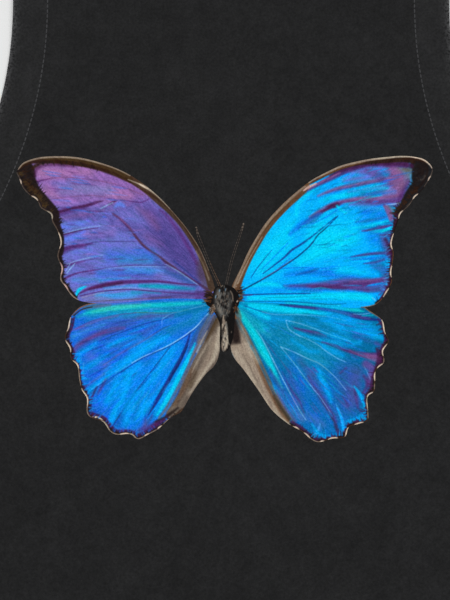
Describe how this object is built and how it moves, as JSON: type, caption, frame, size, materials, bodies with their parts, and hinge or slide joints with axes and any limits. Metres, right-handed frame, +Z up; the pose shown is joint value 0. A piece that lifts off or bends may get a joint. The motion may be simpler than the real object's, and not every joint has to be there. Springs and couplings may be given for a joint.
{
  "type": "bib apron",
  "caption": "Bib apron of charcoal cotton twill with folded hems, a neck loop and waist ties, laid flat, with a large blue butterfly printed on its bib.",
  "frame": {"origin": "underside of the cloth, on the centre line, level with the waist corners", "axes": "+Z up out of the printed front, +Y from the skirt towards the neck loop, +X to the right seen from above"},
  "size_m": [0.933, 1.0881, 0.0176],
  "materials": {
    "twill": "matte charcoal cotton twill with a fine diagonal rib",
    "tape": "matte black herringbone cotton tape",
    "thread": "grey sewing thread in straight topstitching",
    "print": "matte ink printed on the cloth: a blue butterfly with dark scalloped edges"
  },
  "bodies": {
    "root": {"apron_body": "twill", "neck_loop": "tape", "waist_tie_left": "tape", "waist_tie_right": "tape"}
  },
  "joints": []
}
